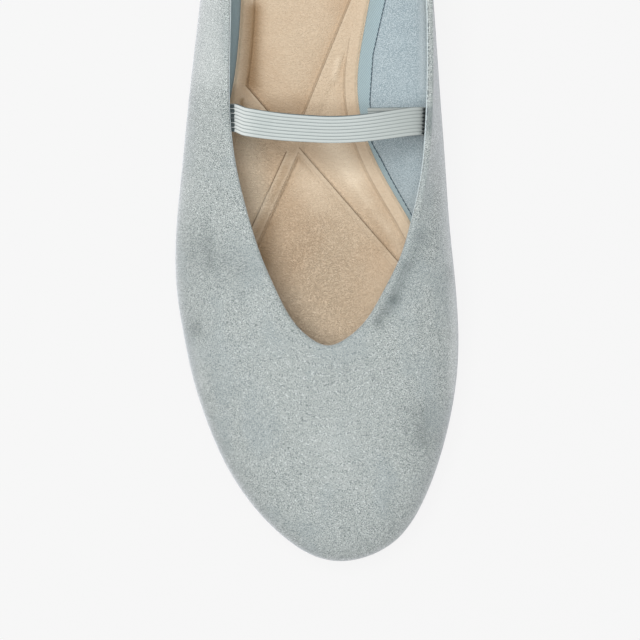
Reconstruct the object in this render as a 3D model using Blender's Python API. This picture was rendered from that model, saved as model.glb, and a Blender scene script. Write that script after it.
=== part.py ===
"""A right-foot ballet flat with a V throat and an elastic strap over the instep.

The shoe is an assembly of five pieces: a hollow upper, a thin outsole, a low heel,
a moulded insole with a rim and two crossing ribs, and a corded elastic strap.
Metres, +Z up. The toe points to -Y, the heel to +Y, and the inner (medial) side of
the foot is at +X. The forepart and the heel both stand on the plane Z = 0.
"""

import math

import bpy
import numpy as np
from mathutils import Matrix

# Sizes of the whole shoe.
LENGTH = 0.250
BALL_WIDTH = 0.085
THROAT_HEIGHT = 0.0345
SIDE_HEIGHT = 0.0435
BACK_HEIGHT = 0.0580

# Thicknesses.
WALL = 0.0020
OUTSOLE = 0.0030
INSOLE = 0.0036
GAP = 0.0003

# The line that the bottom of the sole follows.
TOE_SPRING = 0.0055
HEEL_HEIGHT = 0.0070
TREAD_FRONT = 0.055
TREAD_BACK = 0.103
HEEL_BREAST = 0.188
HEEL_TOP_START = 0.183

# The sole's edge and the heel's block.
SOLE_MARGIN = 0.0010
SOLE_EDGE_BEVEL = 0.0007
HEEL_INSET = 0.0006
HEEL_TAPER = 0.0012
HEEL_BREAST_HOLLOW = 0.0025
HEEL_FOOT_BEVEL = 0.0006
HEEL_BREAST_POINTS = 9
HEEL_CORNER_CLEAR = 0.0020

# The insole's moulded top.
RIM_WIDTH = 0.0040
RIM_SLOPE = 0.0012
PANEL_DEPTH = 0.0017
PANEL_CROWN = 0.0004
CROWN_AT = 0.5
INSOLE_EDGE_ROUND = 0.0005
RIB_WIDTH = 0.0034
RIB_DROP = 0.0003
RIB_ROOT = 0.0026
RIB_STEPS = 14
CROSSING_DROP = 0.0001

# The strap.
STRAP_AT_LATERAL = 0.1300
STRAP_AT_MEDIAL = 0.1289
STRAP_WIDTH = 0.0081
STRAP_THICKNESS = 0.0011
STRAP_CORDS = 8
STRAP_GROOVE = 0.00022
STRAP_CLEARANCE = 0.0006
STRAP_TAIL_SHARE = 0.84
STRAP_TAIL_POINTS = 9
STRAP_TAIL_LEAN = 0.0022
STRAP_ARCH = 0.0075
STRAP_TILT = math.radians(24)

# How finely the surfaces are divided.
AROUND = 96
UP = 12
STRAP_STEPS = 54
FINE = 48

# How often the wall is fitted to its outline, and how far its rounded edge stands up, in shares of WALL.
FITTING_ROUNDS = 4
RIM_OF_WALL = 0.4

# Outlines from above. at: share of LENGTH behind the toe's tip. lateral and medial: shares of BALL_WIDTH.
# The first and last rows are the toe's and the heel's tips, where both sides meet.
UPPER_OUTLINE = (
    ("at", "lateral", "medial"),
    (0.000, 0.074, 0.074),
    (0.006, -0.019, 0.168),
    (0.025, -0.113, 0.265),
    (0.073, -0.254, 0.360),
    (0.160, -0.388, 0.448),
    (0.265, -0.476, 0.483),
    (0.360, -0.503, 0.458),
    (0.460, -0.480, 0.435),
    (0.560, -0.449, 0.412),
    (0.670, -0.411, 0.388),
    (0.780, -0.384, 0.352),
    (0.860, -0.361, 0.318),
    (0.930, -0.322, 0.265),
    (0.975, -0.236, 0.172),
    (0.993, -0.141, 0.079),
    (1.000, -0.031, -0.031),
)
FEATHER_OUTLINE = (
    ("at", "lateral", "medial"),
    (0.011, 0.073, 0.073),
    (0.018, -0.020, 0.159),
    (0.040, -0.122, 0.256),
    (0.085, -0.240, 0.337),
    (0.160, -0.352, 0.407),
    (0.265, -0.425, 0.434),
    (0.360, -0.438, 0.392),
    (0.430, -0.412, 0.276),
    (0.500, -0.361, 0.158),
    (0.560, -0.314, 0.118),
    (0.620, -0.289, 0.139),
    (0.670, -0.281, 0.172),
    (0.780, -0.290, 0.230),
    (0.860, -0.284, 0.241),
    (0.930, -0.240, 0.194),
    (0.968, -0.163, 0.107),
    (0.984, -0.029, -0.029),
)

# The topline, which is the edge of the opening. lateral_rise and medial_rise: shares of the way from the
# throat's height to the side's height, so the back's own rise is added by BACK_RISE.
TOPLINE = (
    ("at", "lateral", "medial", "lateral_rise", "medial_rise"),
    (0.2528, 0.028, 0.028, 0.000, 0.000),
    (0.2608, -0.033, 0.092, 0.020, 0.020),
    (0.286, -0.107, 0.171, 0.090, 0.110),
    (0.313, -0.151, 0.219, 0.200, 0.240),
    (0.360, -0.213, 0.289, 0.450, 0.520),
    (0.406, -0.258, 0.333, 0.670, 0.760),
    (0.453, -0.296, 0.364, 0.840, 0.940),
    (0.500, -0.319, 0.378, 0.940, 1.050),
    (0.600, -0.325, 0.386, 0.900, 1.030),
    (0.700, -0.323, 0.373, 0.780, 0.930),
    (0.800, -0.322, 0.320, 0.800, 0.900),
    (0.890, -0.286, 0.244, 0.900, 0.940),
    (0.946, -0.224, 0.168, 0.970, 0.980),
    (0.972, -0.150, 0.092, 0.990, 0.990),
    (0.983, -0.030, -0.030, 1.000, 1.000),
)
BACK_RISE = (
    ("at", "rise"),
    (0.700, 0.000),
    (0.800, 0.160),
    (0.890, 0.560),
    (0.946, 0.860),
    (0.983, 1.000),
)

# Which point of the topline each upright line of the upper runs to, as shares of the way from toe to heel.
FAN = (
    ("below", "above"),
    (0.000, 0.000),
    (0.120, 0.038),
    (0.250, 0.105),
    (0.400, 0.225),
    (0.500, 0.325),
    (0.620, 0.475),
    (0.750, 0.655),
    (0.880, 0.840),
    (1.000, 1.000),
)

# The form of the wall, from toe (0) to heel (1). Heights are shares of the wall's height. foot_out is the
# share of the way out from the feather line to the outline, at foot_height. shoulder_in and crest_in are
# shares of the way in from the outline to the topline.
WALL_FORM = (
    ("round", "foot_out", "foot_height", "bulge_height", "shoulder_height", "shoulder_in", "crest_height",
     "crest_in"),
    (0.000, 0.550, 0.100, 0.270, 0.660, 0.050, 0.830, 0.440),
    (0.150, 0.500, 0.100, 0.300, 0.680, 0.070, 0.880, 0.460),
    (0.300, 0.400, 0.100, 0.320, 0.680, 0.100, 0.900, 0.500),
    (0.500, 0.240, 0.110, 0.380, 0.660, 0.100, 0.860, 0.550),
    (0.750, 0.240, 0.120, 0.360, 0.660, 0.150, 0.860, 0.600),
    (1.000, 0.400, 0.120, 0.340, 0.660, 0.220, 0.850, 0.620),
)

# The insole's two crossing ribs, a row each: where it starts and ends, as shares of LENGTH and BALL_WIDTH.
RIBS = (
    ("start_at", "start_across", "end_at", "end_across"),
    (0.558, -0.276, 0.3205, 0.339),
    (0.655, 0.125, 0.300, -0.348),
)

# The strap's arch: how much of its forward and upward reach it has at each share of the way across.
STRAP_FORM = (
    ("share", "forward", "lift"),
    (0.020, 0.020, 0.340),
    (0.090, 0.200, 0.660),
    (0.300, 0.900, 1.000),
    (0.500, 1.150, 1.080),
    (0.700, 0.900, 1.000),
    (0.910, 0.200, 0.660),
    (0.980, 0.020, 0.340),
)

# Colours of the finishes, as linear RGB, with roughness.
SUEDE = ((0.46, 0.50, 0.49), 0.95)
FOOTBED = ((0.60, 0.45, 0.31), 0.60)
ELASTIC = ((0.66, 0.70, 0.69), 0.85)
SOLE_RUBBER = ((0.36, 0.27, 0.19), 0.70)
HEEL_RUBBER = ((0.30, 0.22, 0.16), 0.70)


def columns(table):
    """A table's columns, by the names in its first row."""
    return dict(zip(table[0], np.array(table[1:], float).T))


def monotone(xs, ys, at, flat_ends=True):
    """Reads a table's column between its rows, with no overshoot."""
    xs, ys, at = np.asarray(xs, float), np.asarray(ys, float), np.asarray(at, float)
    step, rise = np.diff(xs), np.diff(ys) / np.diff(xs)
    slope = np.zeros(len(xs))
    same_way = rise[:-1] * rise[1:] > 0
    both = np.where(same_way, rise[:-1] * rise[1:], 1.0)
    slope[1:-1] = np.where(same_way, 2 * both / np.where(same_way, rise[:-1] + rise[1:], 1.0), 0.0)
    if not flat_ends:
        slope[0], slope[-1] = rise[0], rise[-1]
    row = np.clip(np.searchsorted(xs, at) - 1, 0, len(step) - 1)
    s = np.clip((at - xs[row]) / step[row], 0.0, 1.0)
    start = (1 + 2 * s) * (1 - s) ** 2 * ys[row] + s * (1 - s) ** 2 * step[row] * slope[row]
    end = s**2 * (3 - 2 * s) * ys[row + 1] + s**2 * (s - 1) * step[row] * slope[row + 1]
    return start + end


def closed_spline(points):
    """Cubic spline round a closed loop of points. Returns FINE samples for each span, as one array."""
    points = np.asarray(points, float)
    count = len(points)
    after = np.roll(points, -1, axis=0)
    span = np.linalg.norm(after - points, axis=1)
    before = np.roll(span, 1)
    system = np.zeros((count, count))
    right = np.zeros_like(points)
    rise = (after - points) / span[:, None]
    for i in range(count):
        system[i, (i - 1) % count] += span[i]
        system[i, i] += 2 * (span[i] + before[i])
        system[i, (i + 1) % count] += before[i]
        right[i] = 3 * (span[i] * rise[i - 1] + before[i] * rise[i])
    slope = np.linalg.solve(system, right)
    s = (np.arange(FINE) / FINE)[None, :, None]
    a, b = points[:, None], after[:, None]
    va, vb = (slope * span[:, None])[:, None], (np.roll(slope, -1, axis=0) * span[:, None])[:, None]
    start = (1 + 2 * s) * (1 - s) ** 2 * a + s * (1 - s) ** 2 * va
    end = s**2 * (3 - 2 * s) * b + s**2 * (s - 1) * vb
    return (start + end).reshape(-1, points.shape[1])


def loop_of(table, extra_lateral=None, extra_medial=None):
    """The closed curve of an outline table, with its number of samples from toe to heel.

    It runs from the toe along the lateral side, round the heel and back along the medial side.
    """
    rows = columns(table)
    sides = []
    for side, extra in (("lateral", extra_lateral), ("medial", extra_medial)):
        place = [rows[side] * BALL_WIDTH, rows["at"] * LENGTH]
        sides.append(np.stack(place if extra is None else [*place, extra], axis=1))
    lateral, medial = sides
    loop = np.concatenate([lateral, medial[-2:0:-1]])
    return closed_spline(loop), (len(lateral) - 1) * FINE


def along_half(path, shares):
    """Points at these shares of a path's length. Columns after the first three are carried along."""
    steps = np.linalg.norm(np.diff(path[:, :3], axis=0), axis=1)
    run = np.concatenate([[0.0], np.cumsum(steps)])
    return np.stack([np.interp(shares * run[-1], run, column) for column in path.T], axis=1)


def around_loop(loop, heel, shares):
    """AROUND points of a closed curve, at these shares of each side's way from toe to heel."""
    lateral = along_half(loop[: heel + 1], shares)
    back = np.concatenate([loop[heel:], loop[:1]])[::-1]
    medial = along_half(back, shares)
    return np.concatenate([lateral, medial[-2:0:-1]])


def sole_line(y):
    """Height of the outsole's underside at a distance behind the toe's tip."""
    toe = np.clip(1 - y / TREAD_FRONT, 0.0, None) ** 2 * TOE_SPRING
    run = np.clip((y - TREAD_BACK) / (HEEL_TOP_START - TREAD_BACK), 0.0, 1.0)
    return toe + run**2 * (3 - 2 * run) * (HEEL_HEIGHT + GAP)


def seat_line(y):
    """Height at which the upper and the insole rest on the outsole."""
    return sole_line(y) + OUTSOLE + GAP


def plan_normals(loop):
    """Unit normals of a closed loop seen from above, pointing outwards."""
    ahead = np.roll(loop[:, :2], -1, axis=0) - np.roll(loop[:, :2], 1, axis=0)
    out = np.stack([ahead[:, 1], -ahead[:, 0]], axis=1)
    out /= np.linalg.norm(out, axis=1)[:, None]
    centre = loop[:, :2].mean(axis=0)
    if ((loop[:, :2] - centre) * out).sum() < 0:
        out = -out
    return out


def spline_weights(at, count):
    """Weights of a clamped cubic B-spline's control points, one row for each place along it."""
    inner = np.linspace(0, 1, count - 2)
    knots = np.concatenate([[0.0] * 3, inner, [1.0] * 3])
    at = np.clip(np.asarray(at, float), 0.0, 1.0 - 1e-9)[:, None]
    weights = ((knots[None, :-1] <= at) & (at < knots[None, 1:])).astype(float)
    for degree in (1, 2, 3):
        low, high = knots[:-degree], knots[degree:]
        wide = high - low
        safe = np.where(wide > 0, wide, 1.0)
        up = np.where(wide > 0, (at - low) / safe, 0.0)[:, : weights.shape[1]]
        down = 1 - up
        down[:, (wide <= 0)[: down.shape[1]]] = 0.0
        weights = up[:, :-1] * weights[:, :-1] + down[:, 1:] * weights[:, 1:]
    return weights


def shares_around():
    """Shares of the way from toe to heel at which the upright lines of the upper start."""
    return np.linspace(0.0, 1.0, AROUND // 2 + 1)


def topline():
    """The outer edge of the opening, AROUND points."""
    rows, back_rows, fan = columns(TOPLINE), columns(BACK_RISE), columns(FAN)
    back = monotone(back_rows["at"], back_rows["rise"], rows["at"]) * (BACK_HEIGHT - SIDE_HEIGHT)
    rise = SIDE_HEIGHT - THROAT_HEIGHT
    lateral = THROAT_HEIGHT + rows["lateral_rise"] * rise + back
    medial = THROAT_HEIGHT + rows["medial_rise"] * rise + back
    loop, heel = loop_of(TOPLINE, lateral, medial)
    above = monotone(fan["below"], fan["above"], shares_around(), flat_ends=False)
    return around_loop(loop, heel, above)


def outline(table):
    """An outline seen from above, AROUND points."""
    loop, heel = loop_of(table)
    return around_loop(loop, heel, shares_around())


def form(column):
    """A column of WALL_FORM for each of the AROUND upright lines."""
    rows = columns(WALL_FORM)
    half = monotone(rows["round"], rows[column], shares_around())
    return np.concatenate([half, half[-2:0:-1]])[:, None]


def upper_outside():
    """The outside of the upper: AROUND upright lines, each from the feather edge to the topline."""
    foot, widest, top = outline(FEATHER_OUTLINE), outline(UPPER_OUTLINE), topline()
    low = seat_line(foot[:, 1])[:, None]
    rise = top[:, 2:] - low
    out = plan_normals(widest)
    weights = spline_weights(np.linspace(0, 1, UP + 1), 6)
    fine = spline_weights(np.linspace(0, 1, FINE), 6)
    reach = widest.copy()
    for _ in range(FITTING_ROUNDS):
        plan = [
            foot,
            foot + form("foot_out") * (reach - foot),
            reach,
            reach + form("shoulder_in") * (top[:, :2] - reach),
            reach + form("crest_in") * (top[:, :2] - reach),
            top[:, :2],
        ]
        plan = np.stack(plan, axis=1)
        beyond = np.einsum("pc,acd->apd", fine, plan) - widest[:, None]
        extent = (beyond * out[:, None]).sum(axis=2).max(axis=1)
        reach = reach - out * extent[:, None]
    heights = ["foot_height", "bulge_height", "shoulder_height", "crest_height"]
    levels = [low] + [low + form(name) * rise for name in heights] + [top[:, 2:]]
    control = np.concatenate([plan, np.stack(levels, axis=1)], axis=2)
    return np.einsum("pc,acd->apd", weights, control)


def surface_normals(grid):
    """Unit normals of a grid that is closed the first way round, pointing to the outside of the shoe."""
    around = np.roll(grid, -1, axis=0) - np.roll(grid, 1, axis=0)
    upward = np.gradient(grid, axis=1)
    normals = np.cross(upward, around)
    normals /= np.linalg.norm(normals, axis=2)[:, :, None]
    middle = grid[:, 0, :2].mean(axis=0)
    if ((grid[:, 3, :2] - middle) * normals[:, 3, :2]).sum() < 0:
        normals = -normals
    return normals


def upper_inside(outside):
    """The inside of the upper, a wall's thickness in. Its foot stays on the outsole."""
    inside = outside - surface_normals(outside) * WALL
    foot = outside[:, 0].copy()
    foot[:, :2] -= plan_normals(foot) * WALL
    foot[:, 2] = seat_line(foot[:, 1])
    inside[:, 0] = foot
    return inside


def quads_between(first, second, count):
    """Faces that join two closed rings of count points, given the rings' first indices."""
    faces = []
    for i in range(count):
        after = (i + 1) % count
        faces.append((first + i, first + after, second + after, second + i))
    return faces


def flipped(faces):
    """The same faces, seen from their other side."""
    return [tuple(reversed(face)) for face in faces]


def mesh_object(name, points, faces, finish):
    """A named object from points and faces, with its faces turned outwards and its own material."""
    mesh = bpy.data.meshes.new(name)
    mesh.from_pydata([tuple(p) for p in points], [], faces)
    mesh.validate()
    obj = bpy.data.objects.new(name, mesh)
    PARTS.objects.link(obj)
    turn_outwards(mesh)
    mesh.materials.append(material(name, finish))
    mesh.shade_smooth()
    mesh.set_sharp_from_angle(angle=math.radians(40))
    return obj


def turn_outwards(mesh):
    """Makes the faces of a closed mesh point out, by the sign of its volume."""
    mesh.calc_loop_triangles()
    corners = np.array([[mesh.vertices[i].co[:] for i in t.vertices] for t in mesh.loop_triangles])
    if np.linalg.det(corners).sum() < 0:
        mesh.flip_normals()


def material(name, finish):
    """A Principled material of this colour and roughness."""
    colour, roughness = finish
    made = bpy.data.materials.new(name)
    made.use_nodes = True
    shader = made.node_tree.nodes["Principled BSDF"]
    shader.inputs["Base Color"].default_value = (*colour, 1.0)
    shader.inputs["Roughness"].default_value = roughness
    shader.inputs["Metallic"].default_value = 0.0
    made.diffuse_color = (*colour, 1.0)
    return made


def rings_object(name, rings, finish, capped):
    """A solid from closed rings. capped joins the first and last rings' sides across; otherwise the rings
    close on themselves like a tube."""
    count = len(rings[0])
    points = np.concatenate(rings)
    faces = []
    last = len(rings) - 1
    for k in range(last):
        faces += quads_between(k * count, (k + 1) * count, count)
    if capped:
        faces += flipped(across(0, count)) + across(last * count, count)
    else:
        faces += quads_between(last * count, 0, count)
    return mesh_object(name, points, faces, finish)


def across(first, count):
    """Faces that close a ring by strips from side to side, with a triangle at each tip."""
    half = count // 2
    faces = [(first, first + 1, first + count - 1), (first + half, first + half + 1, first + half - 1)]
    for i in range(1, half - 1):
        faces.append((first + i, first + i + 1, first + count - i - 1, first + count - i))
    return faces


def build_upper(outside, inside):
    """One hollow wall: its outside, a rounded edge at the topline, its inside and its foot."""
    rings = [outside[:, k] for k in range(outside.shape[1])]
    edge = (outside[:, -1] + inside[:, -1]) / 2
    upward = outside[:, -1] - outside[:, -2]
    upward /= np.linalg.norm(upward, axis=1)[:, None]
    rings.append(edge + upward * WALL * RIM_OF_WALL)
    rings += [inside[:, k] for k in range(inside.shape[1] - 1, -1, -1)]
    return rings_object("upper", rings, SUEDE, capped=False)


def with_height(plan, heights):
    """Points seen from above, given their heights."""
    return np.concatenate([plan[:, :2], np.asarray(heights).reshape(-1, 1)], axis=1)


def sole_edge():
    """The outsole's outline: the feather line and a small margin."""
    foot = outline(FEATHER_OUTLINE)
    return foot + plan_normals(foot) * SOLE_MARGIN


def build_outsole():
    """A thin sole with toe spring and an arched waist. Its lower edge is bevelled."""
    edge = sole_edge()
    under = edge - plan_normals(edge) * SOLE_EDGE_BEVEL
    rings = [
        with_height(edge, sole_line(edge[:, 1]) + OUTSOLE),
        with_height(edge, sole_line(edge[:, 1]) + SOLE_EDGE_BEVEL),
        with_height(under, sole_line(under[:, 1])),
    ]
    return rings_object("outsole", rings, SOLE_RUBBER, capped=True)


def heel_outline():
    """The heel's block from above: the back of the outsole's outline, closed by a hollowed breast."""
    edge = sole_edge()
    edge = edge - plan_normals(edge) * HEEL_INSET
    half = len(edge) // 2
    lateral, medial = edge[: half + 1], np.concatenate([edge[half:], edge[:1]])[::-1]
    sides = []
    for side in (lateral, medial):
        behind = side[side[:, 1] > HEEL_BREAST + HEEL_CORNER_CLEAR]
        x = np.interp(HEEL_BREAST, side[:, 1], side[:, 0])
        sides.append(np.concatenate([[[x, HEEL_BREAST]], behind]))
    lateral, medial = sides
    back = np.concatenate([lateral, medial[-2::-1]])
    share = np.linspace(0, 1, HEEL_BREAST_POINTS)[1:-1, None]
    breast = medial[0] + (lateral[0] - medial[0]) * share
    breast[:, 1] += HEEL_BREAST_HOLLOW * 4 * (share * (1 - share))[:, 0]
    return np.concatenate([back, breast])


def build_heel():
    """A low heel whose sides draw in a little towards the floor."""
    top = heel_outline()
    middle = top.mean(axis=0)
    size = np.linalg.norm(top - middle, axis=1)[:, None]
    inward = (middle - top) / size
    rings = [
        with_height(top, np.full(len(top), HEEL_HEIGHT)),
        with_height(top + inward * HEEL_TAPER, np.full(len(top), HEEL_FOOT_BEVEL)),
        with_height(top + inward * (HEEL_TAPER + HEEL_FOOT_BEVEL), np.zeros(len(top))),
    ]
    count = len(top)
    points = np.concatenate(rings)
    faces = quads_between(0, count, count) + quads_between(count, 2 * count, count)
    faces += flipped([tuple(range(count))]) + [tuple(range(2 * count, 3 * count))]
    return mesh_object("heel", points, faces, HEEL_RUBBER)


def clear_of_wall(inside, above_seat):
    """Points seen from above that lie GAP clear of the wall's inside, this far above the outsole."""
    found = np.empty((len(inside), 2))
    clearance = np.empty((len(inside), 1))
    for i, line in enumerate(inside):
        low = line[: UP // 2]
        climb = low[:, 2] - seat_line(low[:, 1])
        found[i] = [np.interp(above_seat, climb, low[:, column]) for column in (0, 1)]
        leans = np.linalg.norm(np.diff(low[:, :2], axis=0), axis=1) / np.diff(climb)
        clearance[i] = GAP * math.hypot(1.0, leans[climb[:-1] <= above_seat + GAP].max())
    return found - plan_normals(found) * clearance


def insole_top(plan, depth):
    """Height of the insole's top at these points, this far below its rim."""
    return seat_line(plan[:, 1]) + INSOLE - depth


def rib_bar(name, start, end, drop):
    """A straight bar that follows the insole's top from start to end, for joining to the insole."""
    run = end - start
    sideways = np.array([-run[1], run[0]]) / np.linalg.norm(run) * RIB_WIDTH / 2
    points = []
    corners = ((-1, RIB_ROOT), (-1, RIB_DROP + drop), (1, RIB_DROP + drop), (1, RIB_ROOT))
    for k in range(RIB_STEPS + 1):
        centre = start + run * k / RIB_STEPS
        for side, depth in corners:
            corner = centre + sideways * side
            points.append([*corner, insole_top(corner[None], depth)[0]])
    faces = [(3, 2, 1, 0), tuple(4 * RIB_STEPS + i for i in range(4))]
    for k in range(RIB_STEPS):
        faces += quads_between(4 * k, 4 * (k + 1), 4)
    bar = mesh_object(name, np.array(points), faces, FOOTBED)
    PARTS.objects.unlink(bar)
    GUIDES.objects.link(bar)
    bar.hide_render = True
    bar.display_type = "WIRE"
    return bar


def build_insole(inside):
    """The footbed: a rim, a lowered panel with a soft crown, and two ribs that cross on it."""
    below = clear_of_wall(inside, 0.0)
    edge = clear_of_wall(inside, INSOLE - INSOLE_EDGE_ROUND)
    out = plan_normals(edge)
    shoulder = edge - out * INSOLE_EDGE_ROUND
    rim = edge - out * RIM_WIDTH
    panel = rim - out * RIM_SLOPE
    spine = (panel + panel[(-np.arange(AROUND)) % AROUND]) / 2
    inner = panel + (spine - panel) * CROWN_AT
    rings = [
        with_height(below, seat_line(below[:, 1])),
        with_height(edge, insole_top(edge, INSOLE_EDGE_ROUND)),
        with_height(shoulder, insole_top(shoulder, 0.0)),
        with_height(rim, insole_top(rim, 0.0)),
        with_height(panel, insole_top(panel, PANEL_DEPTH)),
        with_height(inner, insole_top(inner, PANEL_DEPTH - PANEL_CROWN)),
    ]
    insole = rings_object("insole", rings, FOOTBED, capped=True)
    ribs = columns(RIBS)
    starts = np.stack([ribs["start_across"] * BALL_WIDTH, ribs["start_at"] * LENGTH], axis=1)
    ends = np.stack([ribs["end_across"] * BALL_WIDTH, ribs["end_at"] * LENGTH], axis=1)
    for i, (start, end) in enumerate(zip(starts, ends)):
        bar = rib_bar(f"insole_rib_{i + 1}", start, end, CROSSING_DROP * i)
        join = insole.modifiers.new(bar.name, "BOOLEAN")
        join.operation = "UNION"
        join.object = bar
    return insole


def wall_section(inside, side, foot_y, top_y):
    """A line up the inside of one wall, one point for each height, from foot_y behind the toe's tip to top_y."""
    half = AROUND // 2
    lines = inside[: half + 1] if side == "lateral" else np.concatenate([inside[half:], inside[:1]])
    points = []
    for ring, y in zip(lines.transpose(1, 0, 2), np.linspace(foot_y, top_y, inside.shape[1])):
        ring = ring[np.argsort(ring[:, 1])]
        points.append([np.interp(y, ring[:, 1], column) for column in ring.T])
    return np.array(points)


def strap_tail(inside, side):
    """One end of the strap: points down the inside of the wall from the topline, clear of it, and the way
    that the wall runs at each, from toe to heel."""
    at = STRAP_AT_LATERAL if side == "lateral" else STRAP_AT_MEDIAL
    middle, before, after = (
        wall_section(inside, side, at + STRAP_TAIL_LEAN + aside, at + aside)[::-1]
        for aside in (0.0, -STRAP_WIDTH / 2, STRAP_WIDTH / 2)
    )
    inward = np.cross(np.gradient(middle, axis=0), after - before)
    inward /= np.linalg.norm(inward, axis=1)[:, None]
    if (inward[:, 0].sum() < 0) == (side == "lateral"):
        inward = -inward
    path = middle + inward * (STRAP_CLEARANCE + STRAP_THICKNESS / 2)
    shares = np.linspace(0, STRAP_TAIL_SHARE, STRAP_TAIL_POINTS)
    both = along_half(np.concatenate([path, after - before], axis=1), shares)
    return both[:, :3], both[:, 3:] / np.linalg.norm(both[:, 3:], axis=1)[:, None]


def strap_line(inside):
    """The strap's centre line and the way that its width runs: the lateral tail, the arch over the opening
    and the medial tail."""
    (lateral, lateral_way), (medial, medial_way) = (strap_tail(inside, side) for side in ("lateral", "medial"))
    share, forward, lift = (column[:, None] for column in columns(STRAP_FORM).values())
    ahead, up = np.array([0.0, -math.sin(STRAP_TILT), 0.0]), np.array([0.0, 0.0, math.cos(STRAP_TILT)])
    arch = lateral[0] + (medial[0] - lateral[0]) * share + STRAP_ARCH * (forward * ahead + lift * up)
    level = (1 - share) * lateral_way[0] + share * medial_way[0]
    tilt = STRAP_TILT * np.sin(math.pi * share)
    arch_way = level * np.cos(tilt) + np.array([0.0, 0.0, 1.0]) * np.sin(tilt)
    control = np.concatenate([lateral[::-1], arch, medial])
    ways = np.concatenate([lateral_way[::-1], arch_way, medial_way])
    weights = spline_weights(np.linspace(0, 1, STRAP_STEPS + 1), len(control))
    return weights @ control, weights @ ways


def strap_section():
    """The strap's cross-section, across and through: rows of cords on both faces."""
    places = np.linspace(-0.5, 0.5, 2 * STRAP_CORDS + 1)
    deep = np.where(np.arange(len(places)) % 2 == 0, STRAP_GROOVE, 0.0)
    through = STRAP_THICKNESS / 2 - deep
    face = np.stack([places * STRAP_WIDTH, through], axis=1)
    return np.concatenate([face, (face * (1, -1))[::-1]])


def build_strap(inside):
    """The corded elastic, swept along its centre line with its width kept along the shoe."""
    line, width = strap_line(inside)
    ahead = np.gradient(line, axis=0)
    ahead /= np.linalg.norm(ahead, axis=1)[:, None]
    width -= ahead * (ahead * width).sum(axis=1)[:, None]
    width /= np.linalg.norm(width, axis=1)[:, None]
    through = np.cross(width, ahead)
    section = strap_section()
    rings = []
    for centre, wide, thick in zip(line, width, through):
        rings.append(centre + section[:, :1] * wide + section[:, 1:] * thick)
    count = len(section)
    points = np.concatenate(rings)
    faces = []
    for k in range(len(rings) - 1):
        faces += quads_between(k * count, (k + 1) * count, count)
    ends = [(i, i + 1, count - i - 2, count - i - 1) for i in range(count // 2 - 1)]
    last = (len(rings) - 1) * count
    faces += flipped(ends) + [tuple(last + i for i in face) for face in ends]
    return mesh_object("strap", points, faces, ELASTIC)


def centre_on_origin(objects):
    """Moves the pieces so that the middle of the shoe, seen from above, is at X = 0 and Y = 0."""
    corners = np.array([v.co[:] for obj in objects for v in obj.data.vertices])
    middle = (corners.min(axis=0) + corners.max(axis=0)) / 2
    for obj in objects:
        obj.data.transform(Matrix.Translation((-middle[0], -middle[1], 0.0)))


def new_collection(name):
    """A collection in the scene."""
    made = bpy.data.collections.new(name)
    bpy.context.scene.collection.children.link(made)
    return made


for old in list(bpy.data.objects):
    bpy.data.objects.remove(old)

PARTS = new_collection("ballet_flat")
GUIDES = new_collection("joined_pieces")

upper_skin = upper_outside()
upper_lining = upper_inside(upper_skin)
build_upper(upper_skin, upper_lining)
build_outsole()
build_heel()
build_insole(upper_lining)
build_strap(upper_lining)
centre_on_origin([*PARTS.objects, *GUIDES.objects])
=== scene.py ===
"""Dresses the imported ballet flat: its suede, lining, footbed, elastic strap and sole."""

from __future__ import annotations

import logging
import math
from dataclasses import dataclass, field
from enum import Enum

import bmesh
import bpy
import numpy as np
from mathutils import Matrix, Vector


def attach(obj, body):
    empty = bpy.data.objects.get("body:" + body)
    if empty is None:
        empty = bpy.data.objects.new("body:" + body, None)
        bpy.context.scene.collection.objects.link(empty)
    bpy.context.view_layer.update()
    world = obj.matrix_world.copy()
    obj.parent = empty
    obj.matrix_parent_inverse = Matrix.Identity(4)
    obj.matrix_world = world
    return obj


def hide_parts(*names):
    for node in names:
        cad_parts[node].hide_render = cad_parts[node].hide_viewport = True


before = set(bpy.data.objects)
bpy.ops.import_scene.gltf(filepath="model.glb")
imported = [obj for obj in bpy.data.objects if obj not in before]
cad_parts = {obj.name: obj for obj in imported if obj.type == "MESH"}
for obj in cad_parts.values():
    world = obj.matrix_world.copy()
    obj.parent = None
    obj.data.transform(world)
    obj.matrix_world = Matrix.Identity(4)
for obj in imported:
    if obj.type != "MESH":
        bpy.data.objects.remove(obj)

LOG = logging.getLogger("ballet_flat")
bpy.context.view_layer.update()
MM = 0.001
Colour = tuple[float, float, float]
Pixel = tuple[float, float]


class Side(Enum):
    """The two long sides of the shoe."""

    LATERAL = -1
    MEDIAL = 1


def srgb(red: int, green: int, blue: int) -> Colour:
    """A screen colour as the linear values that shaders take."""

    def linear(value: float) -> float:
        return value / 12.92 if value <= 0.04045 else ((value + 0.055) / 1.055) ** 2.4

    return linear(red / 255), linear(green / 255), linear(blue / 255)


def smooth_step(value: np.ndarray) -> np.ndarray:
    """Eases 0 to 1."""
    value = np.clip(value, 0.0, 1.0)
    return value * value * (3 - 2 * value)


def eased(values: np.ndarray, low: float, high: float) -> np.ndarray:
    """Eases from 0 at low to 1 at high."""
    return smooth_step((values - low) / (high - low))


def run_of(points: np.ndarray) -> np.ndarray:
    """How far along its line each point lies, for lines that follow the first axis."""
    steps = np.linalg.norm(np.diff(points, axis=0), axis=-1)
    return np.concatenate([np.zeros((1, *steps.shape[1:])), np.cumsum(steps, axis=0)])


def on_line(places: float | np.ndarray, run: np.ndarray, line: np.ndarray) -> np.ndarray:
    """The points of a line at places along its run."""
    return np.stack([np.interp(places, run, line[:, c]) for c in range(3)], axis=-1)


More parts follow.
